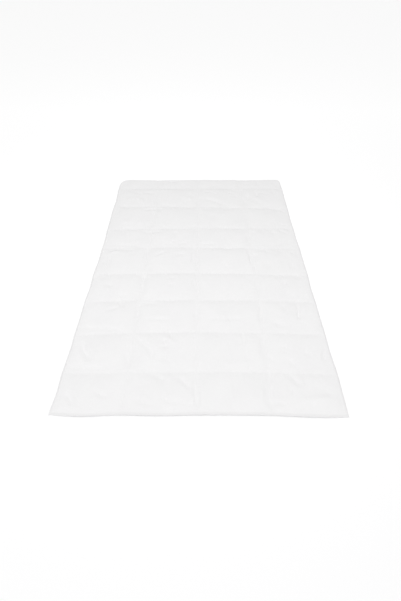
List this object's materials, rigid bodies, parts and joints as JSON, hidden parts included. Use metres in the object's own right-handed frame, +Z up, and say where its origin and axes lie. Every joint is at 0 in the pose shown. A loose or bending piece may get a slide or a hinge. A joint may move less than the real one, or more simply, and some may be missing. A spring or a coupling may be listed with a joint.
{
  "type": "summer duvet",
  "caption": "Light white summer duvet lying flat, filled and stitched through into a grid of soft boxes, with a narrow turned-in hem and its far end turned slightly under.",
  "frame": {"origin": "centre of the rectangle that the duvet covers, on the surface it lies on", "axes": "+X across the width, +Y along the length from the near end to the end that is turned under, +Z up"},
  "size_m": [1.351, 1.966, 0.0177],
  "materials": {
    "cover": "matt white, fine plain weave"
  },
  "bodies": {
    "root": {"duvet": "cover"}
  },
  "joints": []
}
